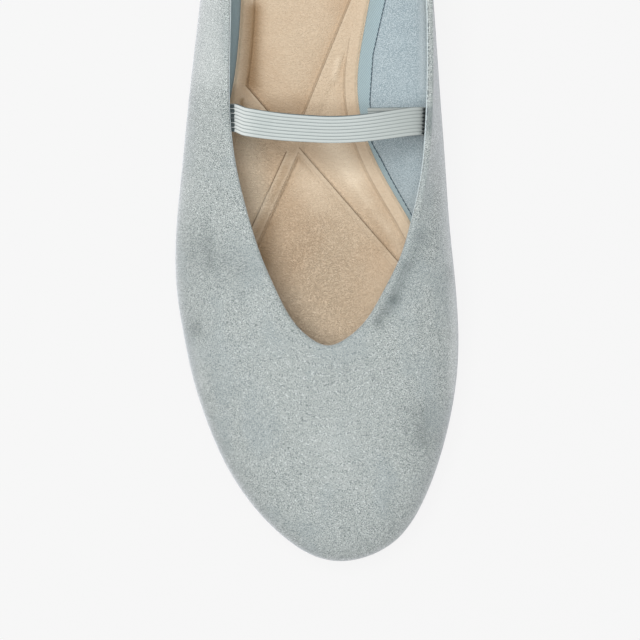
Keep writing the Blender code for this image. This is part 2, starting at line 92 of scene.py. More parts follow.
def through(points: np.ndarray, places: np.ndarray, closed: bool = False) -> np.ndarray:
    """Reads a smooth curve through points.

    Args:
        points: The points, along the first axis.
        places: Where to read it, counted in points.
        closed: Whether the curve joins its own start.

    Returns:
        One point for each place.
    """
    points = np.asarray(points, float)
    count = len(points)
    row = np.floor(places).astype(int)
    if not closed:
        row = np.clip(row, 0, count - 2)
    share = (places - row).reshape((-1,) + (1,) * (points.ndim - 1))

    def at(index: np.ndarray) -> np.ndarray:
        return points[index % count] if closed else points[np.clip(index, 0, count - 1)]

    before, start, end, after = at(row - 1), at(row), at(row + 1), at(row + 2)
    if not closed:
        first = (row == 0).reshape(share.shape)
        last = (row == count - 2).reshape(share.shape)
        before = np.where(first, 2 * start - end, before)
        after = np.where(last, 2 * end - start, after)
    leave, arrive = (end - before) / 2, (after - start) / 2
    s = share
    return (
        (2 * s**3 - 3 * s**2 + 1) * start
        + (s**3 - 2 * s**2 + s) * leave
        + (3 * s**2 - 2 * s**3) * end
        + (s**3 - s**2) * arrive
    )


def unit(vectors: np.ndarray) -> np.ndarray:
    """The same directions with a length of one."""
    size = np.linalg.norm(vectors, axis=-1, keepdims=True)
    return vectors / np.where(size > 0, size, 1.0)


class Value:
    """A shader socket that Python's operators work on."""

    def __init__(self, shading: Shading, socket: bpy.types.NodeSocket) -> None:
        """Wraps a socket of one material."""
        self.shading = shading
        self.socket = socket

    def _maths(self, operation: str, *inputs: Value | float) -> Value:
        """Adds a Math node over these inputs."""
        node = self.shading.node("ShaderNodeMath", {"operation": operation}, dict(enumerate(inputs)))
        return Value(self.shading, node.outputs[0])

    def __add__(self, other: Value | float) -> Value:
        """self + other."""
        return self._maths("ADD", self, other)

    __radd__ = __add__

    def __sub__(self, other: Value | float) -> Value:
        """self - other."""
        return self._maths("SUBTRACT", self, other)

    def __rsub__(self, other: float) -> Value:
        """other - self."""
        return self._maths("SUBTRACT", other, self)

    def __mul__(self, other: Value | float) -> Value:
        """self * other."""
        return self._maths("MULTIPLY", self, other)

    __rmul__ = __mul__

    def between(self, low: float, high: float) -> Value:
        """Eases from 0 at low to 1 at high."""
        node = self.shading.node(
            "ShaderNodeMapRange",
            {"interpolation_type": "SMOOTHSTEP", "clamp": True},
            {"Value": self, "From Min": low, "From Max": high},
        )
        return Value(self.shading, node.outputs["Result"])

    def size(self) -> Value:
        """The value without its sign."""
        return self._maths("ABSOLUTE", self)


class Shading:
    """One material's nodes, built by short calls."""

    def __init__(self, name: str) -> None:
        """Starts a material with one Principled shader."""
        self.material = bpy.data.materials.new(name)
        self.material.use_nodes = True
        self.tree = self.material.node_tree
        self.shader = self.tree.nodes["Principled BSDF"]
        self.place = Value(self, self.node("ShaderNodeTexCoord").outputs["Object"])

    def node(self, kind: str, settings: dict | None = None, inputs: dict | None = None) -> bpy.types.Node:
        """Adds a node.

        Args:
            kind: The node's type.
            settings: Its own properties, set first.
            inputs: Numbers, colours or values for its sockets, by name or index.

        Returns:
            The node.
        """
        made = self.tree.nodes.new(kind)
        for name, setting in (settings or {}).items():
            setattr(made, name, setting)
        for name, given in (inputs or {}).items():
            if isinstance(given, Value):
                self.tree.links.new(given.socket, made.inputs[name])
            else:
                made.inputs[name].default_value = given
        return made

    def noise(
        self, size: float, detail: float = 2.0, roughness: float = 0.5, stretch: Colour = (1, 1, 1)
    ) -> Value:
        """Cloudy noise whose blobs are about size metres wide, longer where stretch is larger."""
        place = self.place
        if stretch != (1, 1, 1):
            scale = tuple(1 / s for s in stretch)
            mapping = self.node("ShaderNodeMapping", {}, {"Vector": place, "Scale": scale})
            place = Value(self, mapping.outputs[0])
        node = self.node(
            "ShaderNodeTexNoise",
            {},
            {"Vector": place, "Scale": 1 / size, "Detail": detail, "Roughness": roughness},
        )
        return Value(self, node.outputs[0])

    def pores(self, size: float) -> Value:
        """Distance from the nearest of many scattered points, size metres apart."""
        node = self.node("ShaderNodeTexVoronoi", {}, {"Vector": self.place, "Scale": 1 / size})
        return Value(self, node.outputs["Distance"])

    def attribute(self, name: str) -> Value:
        """A number stored on the mesh's points."""
        return Value(self, self.node("ShaderNodeAttribute", {"attribute_name": name}).outputs["Fac"])

    def along(self, axis: str) -> Value:
        """One Object coordinate."""
        node = self.node("ShaderNodeSeparateXYZ", {}, {0: self.place})
        return Value(self, node.outputs[axis])

    def waves(self, vector: Value, scale: float, direction: str) -> Value:
        """Even stripes along a direction."""
        node = self.node(
            "ShaderNodeTexWave",
            {"bands_direction": direction},
            {"Vector": vector, "Scale": scale, "Distortion": 1.2, "Detail": 1.0},
        )
        return Value(self, node.outputs["Fac"])

    def blend(self, first: Value | Colour, second: Value | Colour, share: Value | float) -> Value:
        """Goes from the first colour to the second."""

        def colour(given: Value | Colour) -> Value | tuple[float, ...]:
            return given if isinstance(given, Value) else (*given, 1.0)

        node = self.node(
            "ShaderNodeMix", {"data_type": "RGBA"}, {0: share, 6: colour(first), 7: colour(second)}
        )
        return Value(self, node.outputs[2])

    def bump(self, height: Value, depth: float) -> None:
        """Lets a height of 0 to 1 shade the surface as relief of this depth in metres."""
        node = self.node("ShaderNodeBump", {}, {"Height": height, "Distance": depth, "Strength": 1.0})
        self.tree.links.new(node.outputs[0], self.shader.inputs["Normal"])

    def set(self, **sockets: Value | Colour | float) -> None:
        """Sets the shader's sockets, named with underscores for spaces."""
        for name, given in sockets.items():
            socket = self.shader.inputs[name.replace("_", " ")]
            if isinstance(given, Value):
                self.tree.links.new(given.socket, socket)
            elif isinstance(given, tuple):
                socket.default_value = (*given, 1.0)
            else:
                socket.default_value = given


@dataclass(frozen=True)
class Suede:
    """Short-napped suede: a salt-and-pepper grain, brushed clouds, darker smudges in the nap, and painted
    light and shade from stored marks.
    """

    light: Colour = srgb(218, 224, 222)
    body: Colour = srgb(155, 163, 161)
    dark: Colour = srgb(92, 102, 102)
    # A lit copy of the grain's colours, for painted light.
    painted_lit_dark: Colour = srgb(160, 169, 168)
    painted_lit_light: Colour = srgb(238, 242, 240)
    cool: Colour = srgb(152, 163, 166)
    hole: Colour = srgb(84, 96, 100)
    fibre: float = 0.15 * MM
    clump: float = 0.5 * MM
    patch: float = 12 * MM
    brush: float = 4 * MM
    hole_size: float = 0.8 * MM
    fold: tuple[float, float] = (-0.6 * MM, -0.2 * MM)
    relief: float = 0.07 * MM
    cooled: float = 0.30
    brushed: float = 0.12
    # Shares of painted light, and of darker smudges with painted shade, from the stored marks.
    painted_light_share: float = 0.80
    smudge_and_painted_shade_share: float = 0.75
    fold_paled: float = 0.35
    stitched: float = 0.8

    def material(self) -> bpy.types.Material:
        """The suede."""
        s = Shading("suede")
        fibre = s.noise(self.fibre, detail=0, stretch=(0.9, 0.9, 2.2))
        clump = s.noise(self.clump, detail=1)
        patch = s.noise(self.patch, detail=3, roughness=0.55, stretch=(1.0, 1.5, 1.0))
        brushed = s.noise(self.brush, detail=2, stretch=(1.0, 2.0, 1.0))
        shade = s.attribute("shade")
        nap = fibre * 0.95 + clump * 0.05
        topline = s.attribute("from_topline")
        holes = s.noise(self.hole_size, detail=0).between(0.42, 0.60)
        stitching = (1 - s.attribute("from_stitching").size().between(0.15 * MM, 0.50 * MM)) * holes
        colour = s.blend(self.dark, self.body, nap.between(0.425, 0.50))
        colour = s.blend(colour, self.light, nap.between(0.50, 0.575))
        colour = s.blend(colour, self.cool, patch.between(0.45, 0.65) * self.cooled)
        colour = s.blend(colour, self.dark, brushed.between(0.50, 0.80) * self.brushed)
        # Painted light and shade: the stored marks blend the grain towards its lit copy, and towards dark
        # for smudges and painted shade.
        pale = s.blend(self.painted_lit_dark, self.painted_lit_light, nap.between(0.42, 0.58))
        colour = s.blend(colour, pale, shade * self.painted_light_share)
        colour = s.blend(colour, self.dark, shade * -self.smudge_and_painted_shade_share)
        colour = s.blend(colour, pale, (1 - topline.between(*self.fold)) * self.fold_paled)
        colour = s.blend(colour, self.hole, stitching * self.stitched)
        s.set(Base_Color=colour, Roughness=0.95, Sheen_Weight=0.8, Sheen_Roughness=0.4)
        s.set(Sheen_Tint=srgb(238, 240, 246), Specular_IOR_Level=0.15)
        s.bump(nap - stitching * 2.0, self.relief)
        return s.material


@dataclass(frozen=True)
class Lining:
    """Pale blue lining, with a woven tape below the seam, a dark groove at the seam, and painted light from
    stored marks.
    """

    body: Colour = srgb(168, 184, 191)
    light: Colour = srgb(196, 208, 213)
    shade: Colour = srgb(146, 163, 171)
    fleck: Colour = srgb(138, 155, 163)
    tape: Colour = srgb(181, 201, 206)
    weft: Colour = srgb(136, 157, 166)
    seam: Colour = srgb(70, 92, 104)
    seam_width: float = 0.26 * MM
    seam_dark: float = 0.6
    grain: float = 0.28 * MM
    cloud: float = 7 * MM
    weave: float = 1.5 * MM
    weave_from: tuple[float, float] = (0.0, 8 * MM)
    tape_edge: float = 0.05 * MM
    flecked: float = 0.7
    relief: float = 0.08 * MM

    def material(self) -> bpy.types.Material:
        """The lining."""
        s = Shading("lining")
        grain = s.noise(self.grain, detail=1, roughness=0.65)
        cloud = s.noise(self.cloud, detail=3, stretch=(1.0, 0.7, 1.6))
        mark = s.attribute("shade")
        above = s.attribute("above_seam")
        medial = s.along("X").between(*self.weave_from)
        weave = (s.waves(s.place, 1 / self.weave, "DIAGONAL") - 0.3) * medial + 0.3
        colour = s.blend(self.shade, self.body, cloud.between(0.15, 0.60))
        colour = s.blend(colour, self.light, grain.between(0.50, 0.58))
        colour = s.blend(colour, self.fleck, grain.between(0.50, 0.42) * self.flecked)
        woven = s.blend(self.weft, self.tape, weave * 0.75 + grain * 0.5)
        colour = s.blend(woven, colour, above.between(-self.tape_edge, self.tape_edge))
        # Painted light and shade from the stored marks.
        colour = s.blend(colour, self.shade, mark * -1.0)
        colour = s.blend(colour, self.light, mark)
        seam = 1 - above.size().between(self.seam_width * 0.45, self.seam_width)
        colour = s.blend(colour, self.seam, seam * self.seam_dark)
        s.set(Base_Color=colour, Roughness=0.92, Sheen_Weight=0.2, Sheen_Roughness=0.5)
        s.set(Specular_IOR_Level=0.2)
        s.bump(grain * 0.8 - seam * 2.5, self.relief)
        return s.material


@dataclass(frozen=True)
class FootbedLeather:
    """Moulded tan leather: a fine grain, painted shade in its hollows, painted shade lines where its panels
    step down with painted highlights on their lips, and painted light and shade from stored marks.
    """

    body: Colour = srgb(210, 187, 159)
    warm: Colour = srgb(200, 171, 141)
    pale: Colour = srgb(220, 200, 174)
    bright: Colour = srgb(240, 221, 195)
    # Darker for the grain's pits, and for painted shade in the hollows and from the stored marks.
    pit_and_painted_shade: Colour = srgb(162, 132, 99)
    crease: Colour = srgb(112, 84, 60)
    grain: float = 0.5 * MM
    pebble: float = 0.42 * MM
    wrinkle: float = 0.55 * MM
    cloud: float = 22 * MM
    lip_place: float = -0.40 * MM
    lip_width: tuple[float, float] = (0.1 * MM, 0.5 * MM)
    line_place: float = 0.08 * MM
    line_width: tuple[float, float] = (0.02 * MM, 0.24 * MM)
    sunk_depth: tuple[float, float] = (0.3 * MM, 2.0 * MM)
    painted_hollow_shade: float = 0.42
    lip_painted_highlight: float = 0.6
    grain_warm: float = 0.25
    pits_dark: float = 0.20
    pebbles_bright: float = 0.14
    relief: float = 0.26 * MM

    def material(self) -> bpy.types.Material:
        """The footbed's leather."""
        s = Shading("footbed_leather")
        grain = s.noise(self.grain, detail=2, roughness=0.6)
        pebbles = s.pores(self.pebble)
        wrinkles = s.noise(self.wrinkle, detail=2, roughness=0.6, stretch=(1.9, 0.9, 1.0))
        cloud = s.noise(self.cloud, detail=3)
        sunk = s.attribute("sunk")
        beside = s.attribute("from_side")
        strength = s.attribute("line")
        shade = s.attribute("shade")
        colour = s.blend(self.warm, self.pale, cloud.between(0.35, 0.65))
        colour = s.blend(colour, self.body, 0.55)
        pebble = pebbles.between(0.25, 0.65) * 0.5 + wrinkles.between(0.42, 0.62) * 0.5
        grained = s.attribute("grained")
        colour = s.blend(colour, self.warm, grain.between(0.45, 0.65) * self.grain_warm)
        colour = s.blend(colour, self.pit_and_painted_shade, (1 - pebble) * grained * self.pits_dark)
        colour = s.blend(colour, self.bright, pebble.between(0.3, 1.0) * grained * self.pebbles_bright)
        # Painted shade: darker the deeper the panel is sunk.
        colour = s.blend(colour, self.pit_and_painted_shade, sunk.between(*self.sunk_depth) * self.painted_hollow_shade)
        # A painted highlight on the lip of each step, and a painted shade line at its foot.
        lip = 1 - (beside - self.lip_place).size().between(*self.lip_width)
        colour = s.blend(colour, self.pale, lip * strength * self.lip_painted_highlight)
        line = (1 - (beside - self.line_place).size().between(*self.line_width)) * strength
        colour = s.blend(colour, self.crease, line)
        # Painted light and shade from the stored marks.
        colour = s.blend(colour, self.pit_and_painted_shade, shade * -1.0)
        colour = s.blend(colour, self.bright, shade)
        s.set(Base_Color=colour, Roughness=0.50 + grain * 0.12, Specular_IOR_Level=0.35)
        s.bump(grain * 0.4 + pebble * (grained + 0.3) - line * 0.6, self.relief)
        return s.material


@dataclass(frozen=True)
class Elastic:
    """Covered elastic: pale cords with fine cross threads, grooves painted darker as shade between the
    cords, a painted highlight on its lateral end and painted shade towards its medial end.
    """

    cord: Colour = srgb(192, 199, 197)
    groove: Colour = srgb(104, 115, 118)
    shade: Colour = srgb(170, 178, 177)
    # Colours of the painted shade and of the painted highlight.
    deep: Colour = srgb(160, 167, 164)
    painted_highlight: Colour = srgb(236, 238, 236)
    thread: float = 0.24 * MM
    cloud: float = 7 * MM
    painted_shade: float = 0.6
    relief: float = 0.04 * MM

    def material(self) -> bpy.types.Material:
        """The elastic."""
        s = Shading("elastic")
        crest = s.attribute("crest")
        threads = s.noise(self.thread, detail=1, stretch=(0.5, 1.0, 1.0))
        cloud = s.noise(self.cloud, detail=2)
        # Painted shade in the grooves between the cords.
        colour = s.blend(self.groove, self.shade, crest.between(0.02, 0.42))
        colour = s.blend(colour, self.cord, crest.between(0.3, 0.9))
        colour = s.blend(colour, self.shade, threads.between(0.5, 0.8) * 0.4 + cloud.between(0.5, 0.7) * 0.2)
        # A painted highlight on the lateral end, and painted shade towards the medial end.
        colour = s.blend(colour, self.painted_highlight, s.attribute("painted_highlight") * crest)
        colour = s.blend(colour, self.deep, s.attribute("painted_shade") * self.painted_shade)
        s.set(Base_Color=colour, Roughness=0.8, Sheen_Weight=0.1, Specular_IOR_Level=0.15)
        s.bump(threads, self.relief)
        return s.material


@dataclass(frozen=True)
class Thread:
    """Twisted sewing thread."""

    body: Colour

    def material(self, name: str) -> bpy.types.Material:
        """The thread, under a name of its own."""
        s = Shading(name)
        twist = s.noise(0.2 * MM, detail=1)
        dark = tuple(0.6 * c for c in self.body)
        s.set(Base_Color=s.blend(dark, self.body, twist.between(0.35, 0.6)), Roughness=0.7)
        s.bump(twist, 0.03 * MM)
        return s.material


@dataclass(frozen=True)
class SoleRubber:
    """Matt rubber with a fine grain, a few scuffs and a ribbed tread underneath."""

    name: str
    body: Colour
    dark: Colour
    tread_pitch: float = 2.2 * MM

    def material(self) -> bpy.types.Material:
        """The rubber."""
        s = Shading(self.name)
        grain = s.noise(0.4 * MM, detail=3, roughness=0.7)
        cloud = s.noise(14 * MM, detail=3)
        scuff = s.noise(1.2 * MM, detail=4, roughness=0.7, stretch=(1.0, 6.0, 1.0))
        up = Value(s, s.node("ShaderNodeSeparateXYZ", {}, {0: self._normal(s)}).outputs["Z"])
        below = 1 - up.between(-0.9, -0.6)
        ribs = s.waves(s.place, 1 / (self.tread_pitch * 3.1), "Y") * below
        colour = s.blend(self.dark, self.body, cloud.between(0.3, 0.6))
        colour = s.blend(colour, self.dark, ribs.between(0.1, 0.5) * 0.25 + grain.between(0.5, 0.8) * 0.3)
        s.set(Base_Color=colour, Roughness=0.62 + scuff.between(0.5, 0.8) * 0.25, Specular_IOR_Level=0.35)
        s.bump(grain * 0.25 + ribs, 0.25 * MM)
        return s.material

    def _normal(self, s: Shading) -> Value:
        """The surface's own direction."""
        return Value(s, s.node("ShaderNodeNewGeometry").outputs["Normal"])


def quads_of(node: bpy.types.Object) -> bmesh.types.BMesh:
    """A merged copy of a CAD node, with its pairs of triangles joined again."""
    bm = bmesh.new()
    bm.from_mesh(node.data)
    bmesh.ops.remove_doubles(bm, verts=bm.verts, dist=0.01 * MM)
    bmesh.ops.join_triangles(
        bm,
        faces=bm.faces,
        angle_face_threshold=math.pi,
        angle_shape_threshold=math.pi,
        topology_influence=1.0,
    )
    return bm


def straight_on(vert: bmesh.types.BMVert, edge: bmesh.types.BMEdge) -> list[bmesh.types.BMVert]:
    """The points met by leaving a point along an edge and going straight on, until the walk closes."""
    found = [vert]
    here, way = vert, edge
    while True:
        here = way.other_vert(here)
        if here == vert or len(here.link_edges) != 4:
            return found
        found.append(here)
        beside = {e for face in way.link_faces for e in face.edges}
        way = next(e for e in here.link_edges if e not in beside)


def placed(name: str, data: bpy.types.ID) -> bpy.types.Object:
    """A new object in the scene."""
    made = bpy.data.objects.new(name, data)
    bpy.context.scene.collection.objects.link(made)
    return made


def finish_piece(
    name: str,
    bm: bmesh.types.BMesh,
    material: bpy.types.Material,
    replaces: tuple[str, ...] = (),
    sharp: float = 50,
) -> bpy.types.Object:
    """Makes an object of a mesh and lets it ride on the shoe.

    Args:
        name: The piece's name.
        bm: Its mesh, which is freed.
        material: Its finish.
        replaces: The CAD nodes that it stands for.
        sharp: Edges that turn by more than this many degrees stay sharp.

    Returns:
        The object.
    """
    mesh = bpy.data.meshes.new(name)
    bm.to_mesh(mesh)
    bm.free()
    mesh.materials.append(material)
    mesh.shade_smooth()
    mesh.set_sharp_from_angle(angle=math.radians(sharp))
    made = placed(name, mesh)
    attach(made, "root")
    if replaces:
        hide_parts(*replaces)
    LOG.info("%s: %d faces", name, len(mesh.polygons))
    return made


def skin(
    points: np.ndarray, closed: tuple[bool, bool], numbers: dict[str, np.ndarray] | None = None
) -> bmesh.types.BMesh:
    """Bends a flat grid onto rows of points.

    Args:
        points: The points, as rows by columns by 3.
        closed: Whether the rows, and the columns, join their own start.
        numbers: Numbers to store on the points, as rows by columns.

    Returns:
        The mesh. Its open ends are closed when only one way is.
    """
    rows, columns = points.shape[:2]
    tall, wide = rows - (not closed[0]), columns - (not closed[1])
    bm = bmesh.new()
    bmesh.ops.create_grid(bm, x_segments=wide, y_segments=tall, size=0.5)
    layers = {name: bm.verts.layers.float.new(name) for name in numbers or {}}
    for vert in bm.verts:
        column = round((vert.co.x + 0.5) * wide) % columns
        row = round((vert.co.y + 0.5) * tall) % rows
        vert.co = points[row, column]
        for name, stored in layers.items():
            vert[stored] = float(numbers[name][row, column])
    bmesh.ops.remove_doubles(bm, verts=bm.verts, dist=1e-7)
    if closed[0] != closed[1]:
        bmesh.ops.holes_fill(bm, edges=[e for e in bm.edges if e.is_boundary], sides=0)
    bmesh.ops.recalc_face_normals(bm, faces=bm.faces)
    return bm


def tube(
    path: np.ndarray, radius: float | np.ndarray, closed: bool, sides: int = 8, flat: float = 1.0
) -> bmesh.types.BMesh:
    """A cord along a path, with closed ends.

    Args:
        path: Its middle line.
        radius: Its radius, or one for each point.
        closed: Whether it joins its own start.
        sides: How many sides it has.
        flat: Its height over its width.

    Returns:
        The mesh.
    """
    looped = np.roll(path, -1, axis=0) - np.roll(path, 1, axis=0)
    ahead = unit(looped if closed else np.gradient(path, axis=0))
    across = unit(np.cross(ahead, (0.0, 0.0, 1.0)))
    over = np.cross(across, ahead) * flat
    turn = np.arange(sides) * 2 * math.pi / sides
    ring = np.cos(turn)[None, :, None] * across[:, None] + np.sin(turn)[None, :, None] * over[:, None]
    thick = np.broadcast_to(radius, len(path))[:, None, None]
    return skin(path[:, None] + thick * ring, (closed, True))


def joined(parts: list[bmesh.types.BMesh]) -> bmesh.types.BMesh:
    """One mesh out of several, which are freed."""
    whole = bmesh.new()
    for part in parts:
        mesh = bpy.data.meshes.new("part")
        part.to_mesh(mesh)
        part.free()
        whole.from_mesh(mesh)
        bpy.data.meshes.remove(mesh)
    return whole


@dataclass(frozen=True)
class PhotoView:
    """How the photo looks on the shoe: straight down, with the toe at the bottom."""

    width: int = 640
    middle: float = 320.0
    pixels_per_mm: float = 3.37
    scale_height: float = 0.015
    centre_x: float = 0.00087
    centre_y: float = -0.0535
    camera_height: float = 1.1

    def pixel_size(self, height: float | np.ndarray) -> float | np.ndarray:
        """How wide a pixel is at a height."""
        farther = (self.camera_height - height) / (self.camera_height - self.scale_height)
        return farther / self.pixels_per_mm * MM

    def at(self, pixel: Pixel, height: float) -> tuple[float, float]:
        """X and Y of a pixel's column and row on a level plane."""
        size = self.pixel_size(height)
        across, up = pixel[0] - self.middle, self.middle - pixel[1]
        return self.centre_x + across * size, self.centre_y + up * size

    def seen(self, points: np.ndarray) -> tuple[np.ndarray, np.ndarray]:
        """The columns and the rows at which points show."""
        size = self.pixel_size(points[..., 2])
        return (
            self.middle + (points[..., 0] - self.centre_x) / size,
            self.middle - (points[..., 1] - self.centre_y) / size,
        )


@dataclass(frozen=True)
class Mark:
    """A soft patch along a line between two pixels of the photo: darker below 0, lighter above it."""

    start: Pixel
    end: Pixel
    reach: float
    shade: float

    def over(self, columns: np.ndarray, rows: np.ndarray) -> np.ndarray:
        """How strongly it shows at each place."""
        way = np.subtract(self.end, self.start).astype(float)
        share = (columns - self.start[0]) * way[0] + (rows - self.start[1]) * way[1]
        share = np.clip(share / max(float(way @ way), 1e-9), 0.0, 1.0)
        aside = columns - self.start[0] - share * way[0]
        away = np.hypot(aside, rows - self.start[1] - share * way[1])
        return self.shade * np.exp(-((away / self.reach) ** 2))


def faces_up(points: np.ndarray) -> np.ndarray:
    """How level the surface through a grid of points is, from 0 to 1."""
    around = np.roll(points, -1, axis=1) - np.roll(points, 1, axis=1)
    return np.abs(unit(np.cross(around, np.gradient(points, axis=0)))[..., 2])


def marked(view: PhotoView, points: np.ndarray, marks: tuple[Mark, ...]) -> np.ndarray:
    """The marks' sum at each point, from -1 to 1."""
    columns, rows = view.seen(points)
    return np.clip(sum(mark.over(columns, rows) for mark in marks), -1.0, 1.0)


@dataclass
class Wall:
    """The upper's own grid, read back from its CAD solid: upright lines round the shoe, toe first."""

    outer: np.ndarray
    rim: np.ndarray
    inner: np.ndarray

    @classmethod
    def read(cls, node: bpy.types.Object) -> Wall:
        """Walks the solid's rings and upright lines.

        Args:
            node: The CAD upper.

        Returns:
            Its points, as heights by places round the shoe.
        """
        bm = quads_of(node)
        toe = min(bm.verts, key=lambda v: v.co.y)
        walks = [straight_on(toe, edge) for edge in toe.link_edges]
        upright_size = min(len(walk) for walk in walks)
        column = next(walk for walk in walks if len(walk) == upright_size)
        lowest = sorted(range(len(column)), key=lambda i: column[i].co.z)[:2]
        start = min(lowest, key=lambda i: column[i].co.y)
        column = column[start:] + column[:start]
        if column[1].co.z < column[-1].co.z or abs(column[1].co.z - column[0].co.z) < 0.1 * MM:
            column = column[:1] + column[:0:-1]
        rows = []
        for vert in column:
            around = [e for e in vert.link_edges if len(straight_on(vert, e)) != upright_size]
            lateral = min(around, key=lambda e: e.other_vert(vert).co.x)
            rows.append([v.co[:] for v in straight_on(vert, lateral)])
        bm.free()
        grid = np.array(rows)
        height = (len(grid) - 1) // 2
        return cls(grid[:height], grid[height], grid[: height : -1])


@dataclass
class Crease:
    """A soft trough or ridge on the wall: its middle, reach and depth."""

    around: float
    up: float
    reach_around: float
    reach_up: float
    depth: float


@dataclass
class UpperShell:
    """The suede outside and the lining inside of the wall, with the folded edge between them."""

    wall: Wall
    view: PhotoView
    columns: int = 640
    outside_rows: int = 80
    rim_rows: int = 5
    under_rows: int = 10
    inside_rows: int = 60
    suede_share: float = 0.50
    lining_share: float = 0.62
    fold_share: float = 0.60
    binding_radius: float = 0.24 * MM
    footbed_height: float = 3.6 * MM
    tape_front: float = 1.0 * MM
    tape_lateral: float = 4.6 * MM
    nap_level: tuple[float, float] = (0.08, 0.38)
    crease_from_sole: float = 0.12
    crease_from_topline: float = 0.06
    below_fold: float = 0.985
    lining_past_fold: float = 0.12
    binding_past_fold: float = 0.14
    stitched_across: tuple[float, float] = (10 * MM, 14 * MM)
    stitched_along: tuple[float, float] = (-5 * MM, 3 * MM)
    unstitched: float = 5 * MM
    seam_start: float = 3 * MM
    tape_rise: tuple[float, float] = (-20 * MM, 0.0)
    heel_end: float = 120 * MM
    stitching_in: float = -0.65 * MM
    stitch_length: float = 1.1 * MM
    stitch_gap: float = 0.4 * MM
    stitch_radius: float = 0.15 * MM
    stitch_arch: tuple[float, ...] = (-0.6, 0.5, 0.8, 0.5, -0.6)
    seam: tuple[Pixel, ...] = ((385.5, 0), (373, 55), (370, 100), (372, 143), (384.5, 165))
    # Marks on the suede: painted light over the upper lateral wall, pale bands of painted sheen along the
    # outline's edges, painted shade along the lateral topline and beside the throat, and darker smudges and
    # spots in the nap.
    nap: tuple[Mark, ...] = (
        Mark((204, -40), (205, 70), 24, 0.95),
        Mark((202, 110), (192, 190), 20, 0.20),
        Mark((181, 190), (178, 300), 6, 0.25),
        Mark((196, 350), (203, 385), 6, 0.35),
        Mark((178, 200), (186, 130), 10, 0.25),
        Mark((437, 0), (440, 100), 4, 0.35),
        Mark((443, 100), (451, 260), 6, 0.65),
        Mark((455, 285), (454, 390), 6, 0.75),
        Mark((226, 0), (228, 120), 4.5, -0.35),
        Mark((200, 250), (235, 270), 22, -0.25),
        Mark((206, 240), (212, 268), 6, -0.25),
        Mark((196, 329), (196, 329), 7, -0.45),
        Mark((393, 300), (378, 322), 6, -0.75),
        Mark((405, 268), (396, 296), 7, -0.55),
        Mark((420, 238), (412, 262), 8, -0.35),
        Mark((429, 110), (429, 132), 3.5, -0.6),
        Mark((366, 358), (366, 358), 3.5, -0.35),
        Mark((377, 378), (377, 378), 3.5, -0.35),
        Mark((345, 368), (345, 368), 3.5, -0.30),
        Mark((419, 416), (425, 440), 14, -0.35),
        Mark((330, 440), (340, 470), 22, 0.20),
        Mark((430, 158), (430, 158), 1.2, 1.00),
    )
    # Painted light on the lining below the strap's medial end, and a pale painted highlight along the medial
    # topline.
    lining_painted_light: tuple[Mark, ...] = (
        Mark((408, 165), (406, 210), 16, 0.12),
        Mark((422, 0), (422, 90), 2.5, 0.5),
    )
    creases: tuple[Crease, ...] = (
        Crease(0.500, 0.55, 0.030, 0.25, -0.30 * MM),
        Crease(0.115, 0.62, 0.030, 0.20, 0.35 * MM),
        Crease(0.150, 0.50, 0.016, 0.30, -0.30 * MM),
        Crease(0.205, 0.86, 0.012, 0.14, -0.30 * MM),
        Crease(0.860, 0.70, 0.026, 0.22, -0.30 * MM),
        Crease(0.820, 0.52, 0.020, 0.30, 0.30 * MM),
        Crease(0.775, 0.84, 0.012, 0.16, -0.30 * MM),
        Crease(0.060, 0.42, 0.020, 0.22, -0.22 * MM),
        Crease(0.940, 0.45, 0.022, 0.22, 0.24 * MM),
    )
    outer: np.ndarray = field(init=False, repr=False)
    inner: np.ndarray = field(init=False, repr=False)
    rim: np.ndarray = field(init=False, repr=False)
    seam_line: np.ndarray = field(init=False, repr=False)

    def __post_init__(self) -> None:
        """Divides the wall finely round the shoe."""
        places = np.arange(self.columns) * self.wall.rim.shape[0] / self.columns

        def finely(grid: np.ndarray) -> np.ndarray:
            return np.moveaxis(through(np.moveaxis(grid, 1, 0), places, closed=True), 0, 1)

        self.outer = finely(self.wall.outer)
        self.inner = finely(self.wall.inner)
        self.rim = through(self.wall.rim, places, closed=True)

    def rows(self, grid: np.ndarray, count: int, start: float = 0.0, end: float = 1.0) -> np.ndarray:
        """Reads count rows of a grid between two shares of its height."""
        return through(grid, np.linspace(start, end, count) * (len(grid) - 1))

    def creased(self, rows: np.ndarray, start: float, end: float) -> np.ndarray:
        """Presses the creases into rows of the outside."""
        around = np.linspace(0, 1, self.columns, endpoint=False)[None, :]
        up = np.linspace(start, end, len(rows))[:, None]
        beside = np.roll(rows, -1, axis=1) - np.roll(rows, 1, axis=1)
        out = unit(np.cross(beside, np.gradient(rows, axis=0)))
        middle = rows[0].mean(axis=0)
        third = len(rows) // 3
        if ((rows[third] - middle) * out[third]).sum() < 0:
            out = -out
        push = np.zeros(rows.shape[:2])
        for crease in self.creases:
            aside = (around - crease.around + 0.5) % 1.0 - 0.5
            spread = (aside / crease.reach_around) ** 2 + ((up - crease.up) / crease.reach_up) ** 2
            push += crease.depth * np.exp(-spread)
        fade = smooth_step(up / self.crease_from_sole) * smooth_step((1 - up) / self.crease_from_topline)
        return rows + out * (push * fade)[:, :, None]

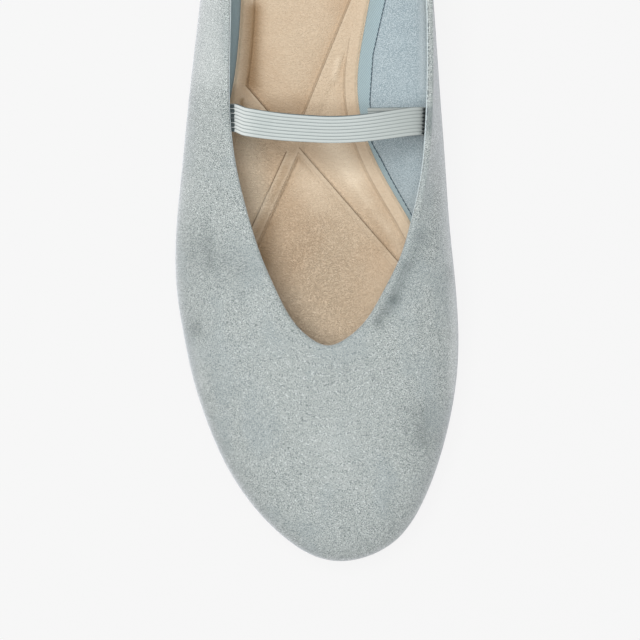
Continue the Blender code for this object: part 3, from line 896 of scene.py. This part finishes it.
    def build_suede(self) -> bpy.types.Object:
        """The outer skin, turned over the topline."""
        outside = self.creased(self.rows(self.outer, self.outside_rows), 0.0, 1.0)
        edge = np.stack([self.outer[-1], self.rim, self.inner[-1]])
        over = through(edge, np.linspace(0, 1 + self.fold_share, self.rim_rows + 1)[1:])
        middle = self.outer + (self.inner - self.outer) * self.suede_share
        under = self.rows(middle, self.under_rows, self.below_fold, 0.0)
        points = np.concatenate([outside, over, under])
        climb = run_of(points)
        from_topline = climb[self.outside_rows + 2] - climb
        across = eased(points[..., 0], *self.stitched_across)
        stitched = across * eased(points[..., 1], *self.stitched_along)
        numbers = {
            # The stored marks paint light and shade, and fade where the wall turns steep.
            "shade": marked(self.view, points, self.nap) * eased(faces_up(points), *self.nap_level),
            "from_topline": from_topline,
            "from_stitching": from_topline - self.stitching_in + (1 - stitched) * self.unstitched,
        }
        bm = skin(points, (True, True), numbers)
        return finish_piece("suede_upper", bm, Suede().material(), ("upper",))

    def seam_climb(self, rows: np.ndarray, climb: np.ndarray) -> np.ndarray:
        """How far up the wall the lining's seam runs.

        Args:
            rows: The inside of the wall, lowest row first.
            climb: How far up the wall each of its points is.

        Returns:
            The seam's climb at each upright line: at its pixels where the photo shows it, and elsewhere
            at a plain height.
        """
        rise = rows[:, :, 2] - rows[0, :, 2]
        lines = range(self.columns)
        footbed = np.array([np.interp(self.footbed_height, rise[:, i], climb[:, i]) for i in lines])
        across, down = self.view.seen(rows)
        seam = np.array(self.seam)
        beyond = across - np.interp(down, seam[:, 1], seam[:, 0])
        half = self.columns // 2
        known = [i for i in lines[half:] if 0 <= down[0, i] <= seam[-1, 1] and beyond[0, i] < 0]
        places = np.array([rows[0, i, 1] for i in known])
        above = np.array([np.interp(0.0, beyond[:, i], climb[:, i]) - footbed[i] for i in known])
        order = np.argsort(places)
        places, above = places[order], above[order]
        y = rows[0, :, 1]
        front, back = places[0] - self.seam_start, places[-1]
        medial = np.interp(y, [front, *places], [self.tape_front, *above])
        medial = np.where(y > back, above[-1], medial)
        heights = [self.tape_front, self.tape_lateral, self.tape_lateral, above[-1]]
        lateral = np.interp(y, [*self.tape_rise, back, self.heel_end], heights)
        return footbed + np.where(np.arange(self.columns) < half, lateral, medial)

    def build_lining(self) -> bpy.types.Object:
        """The inner skin, with the seam's place stored on it."""
        inside = self.rows(self.inner, self.inside_rows, 1.0, 0.0)
        middle = self.outer + (self.inner - self.outer) * self.lining_share
        back = self.rows(middle, self.under_rows, 0.0, self.below_fold)
        top = self.rim + (self.inner[-1] - self.rim) * (self.fold_share + self.lining_past_fold)
        upward = inside[::-1]
        climb = run_of(upward)
        seam = self.seam_climb(upward, climb)
        found = []
        for i in range(self.columns):
            row = np.interp(seam[i], climb[:, i], np.arange(len(climb)))
            found.append(through(upward[:, i], np.array([row]))[0])
        self.seam_line = np.array(found)
        hidden = np.ones((self.under_rows + 1, self.columns))
        points = np.concatenate([inside, back, top[None]])
        numbers = {
            "above_seam": np.concatenate([(climb - seam)[::-1], hidden]),
            "shade": marked(self.view, points, self.lining_painted_light),
        }
        bm = skin(points, (True, True), numbers)
        return finish_piece("lining", bm, Lining().material())

    def build_seam_stitches(self) -> bpy.types.Object:
        """The dark stitches that hold the tape to the lining."""
        loop = np.concatenate([self.seam_line, self.seam_line[:1]])
        run = run_of(loop)
        middle = loop.mean(axis=0)
        lift = self.stitch_radius * np.array(self.stitch_arch)
        parts = []
        for start in np.arange(0.0, run[-1] - self.stitch_length, self.stitch_length + self.stitch_gap):
            path = on_line(start + np.linspace(0, 1, len(lift)) * self.stitch_length, run, loop)
            inward = unit((middle - path) * (1.0, 0.3, 0.0))
            parts.append(tube(path + inward * lift[:, None], self.stitch_radius, closed=False, sides=6))
        thread = Thread(srgb(78, 100, 112)).material("lining_thread")
        return finish_piece("seam_stitches", joined(parts), thread)

    def build_binding(self) -> bpy.types.Object:
        """The narrow folded edge that shows as a pale line inside the topline."""
        path = self.rim + (self.inner[-1] - self.rim) * (self.fold_share + self.binding_past_fold)
        bm = tube(path, self.binding_radius, closed=True)
        return finish_piece("topline_binding", bm, Thread(srgb(205, 217, 219)).material("binding"))


@dataclass(frozen=True)
class PanelSide:
    """One straight side of a moulded panel, with the panel on its left heading from start to end.

    start and end are pixels of the photo. wall is how wide the step down is. depth is how far the panel
    lies below the rim along this side, reach how far in that depth fades into the panel's crown, and
    line how dark the painted shade line along the step is.
    """

    start: Pixel
    end: Pixel
    wall: float
    depth: float
    reach: float
    line: float


@dataclass
class Footbed:
    """The moulded insole: a rim, and four sunken panels between two bands that cross."""

    shell: UpperShell
    view: PhotoView
    across: int = 190
    along: int = 470
    below: int = 12
    thickness: float = 3.6 * MM
    top_height: float = 9.0 * MM
    wall_gap: float = 0.45 * MM
    rim_width: float = 3.7 * MM
    rim_wall: float = 0.9 * MM
    rim_depth: float = 1.1 * MM
    rim_reach: float = 5.0 * MM
    # How dark the painted shade line at the rim's step is.
    rim_line: float = 0.30
    edge_round: float = 0.6 * MM
    edge_reach: float = 1.4 * MM
    end_clear: float = 0.02 * MM
    crown: float = 0.25 * MM
    visible: tuple[float, float] = (-66 * MM, 68 * MM)
    visible_fade: float = 10 * MM
    visible_weight: float = 2.5
    end_reach: float = 3 * MM
    end_weight: float = 4.0
    heel_panel: tuple[PanelSide, ...] = (
        PanelSide((245.3, 85.1), (293.3, 140.9), 0.6 * MM, 2.0 * MM, 7 * MM, 0.85),
        PanelSide((304.4, 113.8), (351.3, 0.0), 0.9 * MM, 1.5 * MM, 7 * MM, 0.45),
    )
    right_panel: tuple[PanelSide, ...] = (
        PanelSide((301.1, 150.0), (398.4, 261.8), 0.6 * MM, 1.0 * MM, 6 * MM, 0.70),
        PanelSide((347.9, 41.1), (314.9, 112.9), 2.2 * MM, 0.7 * MM, 4 * MM, 0.05),
    )
    left_panel: tuple[PanelSide, ...] = (
        PanelSide((286.7, 151.4), (243.0, 97.0), 2.4 * MM, 0.5 * MM, 5 * MM, 0.05),
        PanelSide((252.4, 225.5), (286.7, 151.4), 0.7 * MM, 0.8 * MM, 6 * MM, 0.80),
    )
    front_panel: tuple[PanelSide, ...] = (
        PanelSide((292.6, 164.5), (258.6, 239.9), 1.1 * MM, 1.6 * MM, 7 * MM, 0.35),
        PanelSide((395.0, 268.7), (319.6, 177.5), 1.8 * MM, 0.5 * MM, 5 * MM, 0.14),
    )
    # Painted shade beside the walls and along the bands, painted light where the walls and the strap shade
    # the footbed and on the crests, and a dark slit beside the strap's lateral end.
    painted_light_shade_and_slit: tuple[Mark, ...] = (
        Mark((254, 10), (251, 82), 9, -1.00),
        Mark((248, 145), (260, 205), 13, 0.60),
        Mark((233, 20), (233, 80), 6, 0.90),
        Mark((368, 60), (368, 140), 6, 0.35),
        Mark((286, 168), (257, 232), 4, -0.40),
        Mark((333, 145), (354, 176), 13, 0.65),
        Mark((292, 150), (300, 146), 6, -0.20),
        Mark((242, 100), (241, 108), 2.0, -0.9),
        Mark((304, 168), (316, 202), 13, 0.28),
        Mark((270, 225), (264, 262), 8, -0.35),
        Mark((345, 172), (388, 230), 4, 0.25),
        Mark((386, 245), (374, 215), 9, -0.30),
        Mark((255, 245), (262, 262), 9, -0.35),
        Mark((338, 60), (334, 78), 3, 0.45),
        Mark((300, 300), (325, 338), 20, 0.28),
        Mark((282, 120), (296, 104), 14, -0.25),
    )
    grained: tuple[Mark, ...] = (
        Mark((318, 255), (315, 330), 62, 1.0),
        Mark((258, 140), (262, 190), 24, 0.6),
        Mark((300, 20), (300, 90), 60, 0.30),
    )

    def outline(self) -> tuple[np.ndarray, np.ndarray]:
        """The footbed's lateral and medial edges, each from toe to heel."""
        lowest = self.shell.inner[:5]
        loop = np.empty((self.shell.columns, 3))
        for i in range(self.shell.columns):
            rise = lowest[:, i, 2] - lowest[0, i, 2]
            loop[i] = on_line(self.thickness - self.edge_round, rise, lowest[:, i])
        ahead = np.roll(loop, -1, axis=0) - np.roll(loop, 1, axis=0)
        out = unit(np.stack([ahead[:, 1], -ahead[:, 0]], axis=1))
        if ((loop[:, :2] - loop[:, :2].mean(axis=0)) * out).sum() < 0:
            out = -out
        loop[:, :2] -= out * self.wall_gap
        half = self.shell.columns // 2
        lateral = loop[: half + 1]
        medial = np.concatenate([loop[half:], loop[:1]])[::-1]
        return lateral, medial

    def seat(self, y: np.ndarray) -> np.ndarray:
        """Height of the outsole under the footbed."""
        foot = self.shell.inner[0]
        half = self.shell.columns // 2
        line = foot[: half + 1]
        order = np.argsort(line[:, 1])
        return np.interp(y, line[order, 1], line[order, 2])

    def inside(self, side: PanelSide, x: np.ndarray, y: np.ndarray) -> np.ndarray:
        """How far each place lies inside a panel's side."""
        x0, y0 = self.view.at(side.start, self.top_height)
        x1, y1 = self.view.at(side.end, self.top_height)
        size = math.hypot(x1 - x0, y1 - y0)
        return ((x1 - x0) * (y - y0) - (y1 - y0) * (x - x0)) / size

    def sunk_panel(
        self, sides: tuple[PanelSide, ...], x: np.ndarray, y: np.ndarray, from_rim: np.ndarray
    ) -> tuple[np.ndarray, np.ndarray, np.ndarray]:
        """One panel's relief.

        Args:
            sides: Its straight sides; the rim closes it.
            x: Places across the shoe.
            y: Places along the shoe.
            from_rim: How far each place lies inside the rim.

        Returns:
            How far each place is sunk, how far it lies inside the nearest side, and how dark that side is.
        """
        step = smooth_step(from_rim / self.rim_wall)
        deepest = self.rim_depth * np.exp(-np.maximum(from_rim, 0.0) / self.rim_reach)
        nearest = from_rim.copy()
        line = np.full(x.shape, self.rim_line)
        for side in sides:
            inside = self.inside(side, x, y)
            step = step * smooth_step(inside / side.wall)
            deepest = np.maximum(deepest, side.depth * np.exp(-np.maximum(inside, 0.0) / side.reach))
            line = np.where(inside < nearest, side.line, line)
            nearest = np.minimum(nearest, inside)
        return step * np.maximum(deepest, self.crown), nearest, line

    def relief(self, x: np.ndarray, y: np.ndarray, from_edge: np.ndarray) -> dict[str, np.ndarray]:
        """The moulded relief.

        Args:
            x: Places across the shoe.
            y: Places along the shoe.
            from_edge: How far each place lies inside the footbed's edge.

        Returns:
            How far each place is sunk, how far it lies inside the nearest panel side, and how dark
            that side is.
        """
        from_rim = from_edge - self.rim_width
        sunk, line = np.zeros(x.shape), np.zeros(x.shape)
        from_side = np.full(x.shape, -1.0)
        for sides in (self.heel_panel, self.right_panel, self.left_panel, self.front_panel):
            depth, nearest, dark = self.sunk_panel(sides, x, y, from_rim)
            sunk = np.maximum(sunk, depth)
            line = np.where(nearest > from_side, dark, line)
            from_side = np.maximum(from_side, nearest)
        return {"sunk": sunk, "from_side": from_side, "line": line}

    def row_places(self, low: float, high: float) -> np.ndarray:
        """Where the rows lie: close together where the opening shows them, and at both ends."""
        fine = np.linspace(low, high, 2000)
        front, back = self.visible
        after, before = (fine - front) / self.visible_fade, (back - fine) / self.visible_fade
        shown = smooth_step(after) * smooth_step(before)
        ends = np.exp(-(fine - low) / self.end_reach) + np.exp(-(high - fine) / self.end_reach)
        total = np.cumsum(1 + self.visible_weight * shown + self.end_weight * ends)
        return np.interp(np.linspace(total[0], total[-1], self.along), total, fine)

    def from_edge(self, x: np.ndarray, y: np.ndarray, edges: tuple[np.ndarray, ...]) -> np.ndarray:
        """How far each place lies inside the outline."""
        nearest = np.full(x.shape, 1.0)
        for edge in edges:
            for point in through(edge[:, :2], np.arange(0, len(edge) - 1, 0.5)):
                nearest = np.minimum(nearest, np.hypot(x - point[0], y - point[1]))
        return nearest

    def build(self) -> bpy.types.Object:
        """The footbed as one closed solid."""
        lateral, medial = self.outline()
        low = max(lateral[:, 1].min(), medial[:, 1].min()) + self.end_clear
        high = min(lateral[:, 1].max(), medial[:, 1].max()) - self.end_clear
        places = self.row_places(low, high)
        left = np.interp(places, lateral[:, 1], lateral[:, 0])[:, None]
        right = np.interp(places, medial[:, 1], medial[:, 0])[:, None]
        x = left + (right - left) * np.linspace(0, 1, self.across)
        y = np.repeat(places[:, None], self.across, axis=1)
        from_edge = self.from_edge(x, y, (lateral, medial))
        numbers = self.relief(x, y, from_edge)
        shoulder = self.edge_round * (1 - smooth_step(from_edge / self.edge_reach)) ** 2
        top = np.stack([x, y, self.seat(y) + self.thickness - numbers["sunk"] - shoulder], axis=2)
        under_x = right + (left - right) * np.linspace(0, 1, self.below)
        under_y = np.repeat(places[:, None], self.below, axis=1)
        under = np.stack([under_x, under_y, self.seat(under_y)], axis=2)
        # Painted light and shade from the stored marks.
        numbers["shade"] = marked(self.view, top, self.painted_light_shade_and_slit)
        numbers["grained"] = marked(self.view, top, self.grained)
        plain = np.zeros(under_x.shape)
        numbers = {name: np.concatenate([stored, plain], axis=1) for name, stored in numbers.items()}
        bm = skin(np.concatenate([top, under], axis=1), (False, True), numbers)
        return finish_piece("footbed", bm, FootbedLeather().material(), ("insole",), sharp=60)


@dataclass(frozen=True)
class StitchRow:
    """The stitches over one end of the strap.

    start and end are columns of the photo. radius is that of a stitch at its start, tip its share of that
    at the end.
    """

    start: float
    end: float
    count: int
    radius: float
    tip: float


@dataclass
class ElasticStrap:
    """The corded elastic, on the path of its CAD solid.

    The pairs of numbers are columns of the photo between which something rises or falls.
    """

    node: bpy.types.Object
    view: PhotoView
    cords: int = 8
    per_cord: int = 8
    steps: int = 300
    groove: float = 0.20 * MM
    bend: float = 0.8 * MM
    bend_rise: tuple[float, float] = (234, 246)
    bend_fall: tuple[float, float] = (250, 315)
    # A painted highlight on the strap's lateral end, and painted shade rising towards its medial end.
    painted_highlight: float = 0.45
    painted_highlight_rise: tuple[float, float] = (226, 232)
    painted_highlight_fall: tuple[float, float] = (236, 258)
    painted_shade_rise: tuple[float, float] = (340, 420)
    cord_fullness: float = 0.45
    stitch_lift: float = 1.25
    stitch_flat: float = 0.5
    lateral_row: StitchRow = StitchRow(229.8, 235.9, 6, 0.60 * MM, 0.95)
    medial_row: StitchRow = StitchRow(424.6, 420.0, 7, 0.62 * MM, 0.2)
    line: tuple[np.ndarray, np.ndarray, np.ndarray] = field(init=False, repr=False)

    def path(self) -> tuple[np.ndarray, np.ndarray, np.ndarray]:
        """The solid's centre line, and its half width and half thickness as vectors."""
        bm = quads_of(self.node)
        bm.verts.index_update()
        sections = self._sections(bm)
        centres = np.array([s.mean(axis=0) for s in sections])
        wide, thick = [], []
        for section, centre in zip(sections, centres):
            axes = np.linalg.svd(section - centre)[2]
            direction = axes[0] if axes[0][1] > 0 else -axes[0]
            reach = (section - centre) @ direction
            wide.append(direction * (reach.max() - reach.min()) / 2)
            through_way = axes[1]
            deep = (section - centre) @ through_way
            thick.append(through_way * (deep.max() - deep.min()) / 2)
        bm.free()
        thick = np.array(thick)
        for i in range(1, len(thick)):
            if thick[i] @ thick[i - 1] < 0:
                thick[i] = -thick[i]
        if thick[len(thick) // 2][2] < 0:
            thick = -thick
        return centres, np.array(wide), thick

    def _sections(self, bm: bmesh.types.BMesh) -> list[np.ndarray]:
        """The points of each ring across the strap, in order from the lateral end to the medial end."""

        def reach(walk: list[bmesh.types.BMVert]) -> float:
            return max(v.co.x for v in walk) - min(v.co.x for v in walk)

        middle = max(bm.verts, key=lambda v: v.co.z)
        ring = min((straight_on(middle, e) for e in middle.link_edges), key=reach)
        size = len(ring)
        sections, used = [], set()
        for vert in bm.verts:
            if vert.index in used:
                continue
            rings = [w for w in (straight_on(vert, e) for e in vert.link_edges) if len(w) == size]
            if rings:
                walk = min(rings, key=reach)
                used.update(v.index for v in walk)
                sections.append(np.array([v.co[:] for v in walk]))
        ends = np.array([v.co[:] for v in bm.verts if v.index not in used])
        for sign in (-1, 1):
            part = ends[ends[:, 0] * sign > 0]
            if len(part):
                sections.append(part)
        return self._in_order(sections)

    @staticmethod
    def _in_order(sections: list[np.ndarray]) -> list[np.ndarray]:
        """Orders the rings by walking to the nearest one left, from the lateral end."""
        centres = np.array([s.mean(axis=0) for s in sections])
        lateral = [i for i in range(len(sections)) if centres[i, 0] < 0]
        order = [min(lateral, key=lambda i: centres[i, 2])]
        left = set(range(len(sections))) - set(order)
        while left:
            here = centres[order[-1]]
            nearest = min(left, key=lambda i: np.linalg.norm(centres[i] - here))
            order.append(nearest)
            left.remove(nearest)
        return [sections[i] for i in order]

    def build(self) -> bpy.types.Object:
        """The strap with its cords raised on both faces."""
        centres, wide, thick = self.path()
        places = np.linspace(0, len(centres) - 1, self.steps)
        centres, wide, thick = (through(part, places) for part in (centres, wide, thick))
        columns, _ = self.view.seen(centres)
        bent = eased(columns, *self.bend_rise) * (1 - eased(columns, *self.bend_fall))
        centres[:, 1] -= self.bend * bent
        self.line = centres, wide, thick
        count = self.cords * self.per_cord
        across = np.linspace(-1, 1, count + 1)
        crest = np.abs(np.sin((across + 1) / 2 * math.pi * self.cords)) ** self.cord_fullness
        half = np.linalg.norm(thick, axis=1).mean()
        depth = 1 - (1 - crest) * self.groove / half
        face = list(zip(across, depth, crest))
        section = np.array(face + [(a, -d, c) for a, d, c in reversed(face)])
        points = (
            centres[:, None] + wide[:, None] * section[None, :, :1] + thick[:, None] * section[None, :, 1:2]
        )
        columns, _ = self.view.seen(points)
        # Where the painted highlight and the painted shade fall along the strap.
        painted_highlight = eased(columns, *self.painted_highlight_rise) * (1 - eased(columns, *self.painted_highlight_fall))
        numbers = {
            "crest": np.repeat(section[None, :, 2], len(points), axis=0),
            "painted_highlight": self.painted_highlight * painted_highlight,
            "painted_shade": eased(columns, *self.painted_shade_rise),
        }
        bm = skin(points, (False, True), numbers)
        return finish_piece("elastic_strap", bm, Elastic().material(), ("strap",), sharp=80)

    def stitches(self, side: Side) -> list[bmesh.types.BMesh]:
        """The dark stitches over one end of the strap, where it goes inside the wall."""
        centres, wide, thick = self.line
        columns, _ = self.view.seen(centres)
        crown = int(np.argmax(centres[:, 2]))
        if side is Side.LATERAL:
            row, part = self.lateral_row, slice(int(np.argmin(columns)), crown)
        else:
            row, part = self.medial_row, slice(crown, int(np.argmax(columns)) + 1)
        found = []
        order = np.argsort(columns[part])
        across = columns[part][order]
        reach = np.linspace(row.start, row.end, 5)
        radius = row.radius * np.linspace(1.0, row.tip, 5)
        for k in range(row.count):
            place = -1 + 2 * (k + 0.5) / row.count
            surface = (centres + wide * place + thick * self.stitch_lift)[part][order]
            found.append(tube(on_line(reach, across, surface), radius, closed=False, flat=self.stitch_flat))
        return found

    def build_stitches(self) -> bpy.types.Object:
        """The stitches at both ends."""
        parts = self.stitches(Side.LATERAL) + self.stitches(Side.MEDIAL)
        thread = Thread(srgb(66, 76, 78)).material("strap_thread")
        return finish_piece("strap_stitches", joined(parts), thread)


@dataclass
class Sole:
    """The outsole and the heel, with rounded edges."""

    edge_round: float = 0.35 * MM
    sharp_from: float = 25

    def build(self) -> list[bpy.types.Object]:
        """Both pieces."""
        rubber = SoleRubber("sole_rubber", srgb(176, 150, 122), srgb(150, 124, 98))
        block = SoleRubber("heel_rubber", srgb(158, 132, 106), srgb(128, 104, 82))
        return [self.rounded("outsole", rubber), self.rounded("heel", block)]

    def rounded(self, node: str, finish: SoleRubber) -> bpy.types.Object:
        """A merged copy of a CAD solid with its sharp edges rounded."""
        bm = quads_of(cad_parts[node])
        least = math.radians(self.sharp_from)
        sharp = [e for e in bm.edges if len(e.link_faces) == 2 and e.calc_face_angle() > least]
        bmesh.ops.bevel(
            bm,
            geom=sharp,
            offset=self.edge_round,
            affect="EDGES",
            segments=3,
            profile=0.5,
            material=-1,
            clamp_overlap=True,
        )
        return finish_piece(f"{node}_moulded", bm, finish.material(), (node,), sharp=40)


@dataclass
class Studio:
    """A pale floor, soft light from above and a little to the left, and a camera straight above the shoe."""

    view: PhotoView
    floor_colour: Colour = srgb(248, 248, 248)
    floor_base: Colour = (0.04, 0.04, 0.04)
    floor_glow: float = 0.94
    floor_size: float = 3.0
    key_place: tuple[float, float, float] = (-0.11, 0.02, 1.0)
    key_size: float = 0.4
    key_power: float = 8.6
    world_light: float = 0.37

    def build(self) -> None:
        """The floor, the lights and the camera."""
        self.floor()
        self.light("key", Vector(self.key_place), self.key_size, self.key_power)
        world = bpy.data.worlds.new("studio")
        world.use_nodes = True
        sockets = world.node_tree.nodes["Background"].inputs
        sockets["Color"].default_value = (1.0, 1.0, 1.0, 1.0)
        sockets["Strength"].default_value = self.world_light
        bpy.context.scene.world = world
        bpy.context.scene.view_settings.view_transform = "Standard"
        self.camera()

    def floor(self) -> None:
        """A wide pale plane on which the shoe stands."""
        bm = bmesh.new()
        bmesh.ops.create_grid(bm, x_segments=1, y_segments=1, size=self.floor_size)
        mesh = bpy.data.meshes.new("floor")
        bm.to_mesh(mesh)
        bm.free()
        s = Shading("floor")
        s.set(Base_Color=self.floor_base, Roughness=1.0, Specular_IOR_Level=0.0)
        s.set(Emission_Color=self.floor_colour, Emission_Strength=self.floor_glow)
        mesh.materials.append(s.material)
        made = placed("floor", mesh)

    def light(self, name: str, place: Vector, size: float, power: float) -> None:
        """A square soft light that faces the shoe."""
        data = bpy.data.lights.new(name, "AREA")
        data.size = size
        data.energy = power
        made = placed(name, data)
        made.location = place
        made.rotation_euler = (-place).to_track_quat("-Z", "Y").to_euler()

    def camera(self) -> None:
        """The photo's view: straight down, with the toe at the bottom."""
        data = bpy.data.cameras.new("camera")
        seen_width = self.view.width / self.view.pixels_per_mm * MM
        data.lens = data.sensor_width * (self.view.camera_height - self.view.scale_height) / seen_width
        made = placed("camera", data)
        made.location = (self.view.centre_x, self.view.centre_y, self.view.camera_height)
        bpy.context.scene.camera = made


def main() -> None:
    """Builds the pieces in order."""
    logging.basicConfig(level=logging.INFO, format="%(message)s")
    view = PhotoView()
    Studio(view).build()
    wall = Wall.read(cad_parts["upper"])
    shell = UpperShell(wall, view)
    shell.build_suede()
    shell.build_lining()
    shell.build_seam_stitches()
    shell.build_binding()
    Footbed(shell, view).build()
    strap = ElasticStrap(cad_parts["strap"], view)
    strap.build()
    strap.build_stitches()
    Sole().build()


if __name__ == "__main__":
    main()
